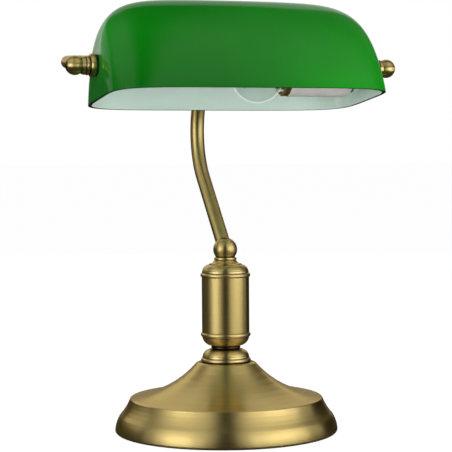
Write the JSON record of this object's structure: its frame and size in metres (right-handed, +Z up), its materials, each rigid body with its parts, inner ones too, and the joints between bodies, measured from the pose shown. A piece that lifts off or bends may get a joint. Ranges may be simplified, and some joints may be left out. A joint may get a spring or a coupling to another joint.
{
  "type": "banker desk lamp",
  "caption": "Desk lamp with a round flared foot, a turned column, a bent arm and a U-shaped yoke that carries a long tilting green glass shade over a clear bulb.",
  "frame": {"origin": "centre of the foot's underside", "axes": "+Z up, X along the shade, +Y to the back where the arm and the cord inlet are, -Y to the person at the desk"},
  "size_m": [0.2978, 0.1952, 0.3734],
  "materials": {
    "antique_brass": "brushed antique brass under clear lacquer",
    "green_glass": "green glass cased over opal white, polished",
    "clear_glass": "clear",
    "white_plastic": "semi-gloss heat-proof plastic",
    "black_plastic": "moulded",
    "terminal_plastic": "moulded",
    "zinc_steel": "zinc-plated",
    "plate_steel": "bare sheet",
    "ballast_iron": "as cast",
    "felt": "felt pad",
    "contact_brass": "bare",
    "bulb_metal": "rolled thread",
    "tungsten": "drawn wire",
    "lead_insulation": "smooth insulation"
  },
  "bodies": {
    "stand": {"base_shell": "antique_brass", "base_felt": "felt", "base_plate": "plate_steel", "base_weight": "ballast_iron", "cable_bushing": "black_plastic", "terminal_block": "terminal_plastic", "terminal_screws": "zinc_steel", "support_tube": "zinc_steel", "ballast_nut": "zinc_steel", "base_washer": "zinc_steel", "base_nut": "zinc_steel", "collar_dome": "antique_brass", "body_cup": "antique_brass", "body_tube": "antique_brass", "body_cap": "antique_brass", "lower_neck_ring": "antique_brass", "upper_neck_ring": "antique_brass", "ball_coupling": "antique_brass", "arm_tube": "antique_brass", "yoke_tube": "antique_brass", "arm_tee": "antique_brass", "left_hub": "antique_brass", "left_pivot": "zinc_steel", "left_locknut": "zinc_steel", "right_hub": "antique_brass", "right_pivot": "zinc_steel", "right_locknut": "zinc_steel", "lampholder_body": "white_plastic", "holder_ring": "antique_brass", "screw_shell": "contact_brass", "holder_core": "white_plastic", "centre_contact": "contact_brass", "holder_bracket": "zinc_steel", "bracket_nut": "zinc_steel", "holder_screw": "zinc_steel", "bulb_glass": "clear_glass", "bulb_cap": "bulb_metal", "bulb_stem": "clear_glass", "bulb_filament": "tungsten", "inner_lead": "lead_insulation"},
    "shade": {"shade_glass": "green_glass", "left_bushing": "black_plastic", "left_washer": "black_plastic", "right_bushing": "black_plastic", "right_washer": "black_plastic"},
    "left_clamp": {"left_finial": "antique_brass"},
    "right_clamp": {"right_finial": "antique_brass"}
  },
  "joints": [
    {"name": "shade_tilt", "type": "hinge", "parent": "stand", "child": "shade", "pos_m": [0, -0.03, 0.317], "axis": [-1, 0, 0], "range_deg": [-35, 50]},
    {"name": "left_finial_turn", "type": "hinge", "parent": "stand", "child": "left_clamp", "pos_m": [-0.1443, -0.03, 0.317], "axis": [-1, 0, 0], "range_deg": [0, 90]},
    {"name": "right_finial_turn", "type": "hinge", "parent": "stand", "child": "right_clamp", "pos_m": [0.1443, -0.03, 0.317], "axis": [1, 0, 0], "range_deg": [0, 90]}
  ]
}
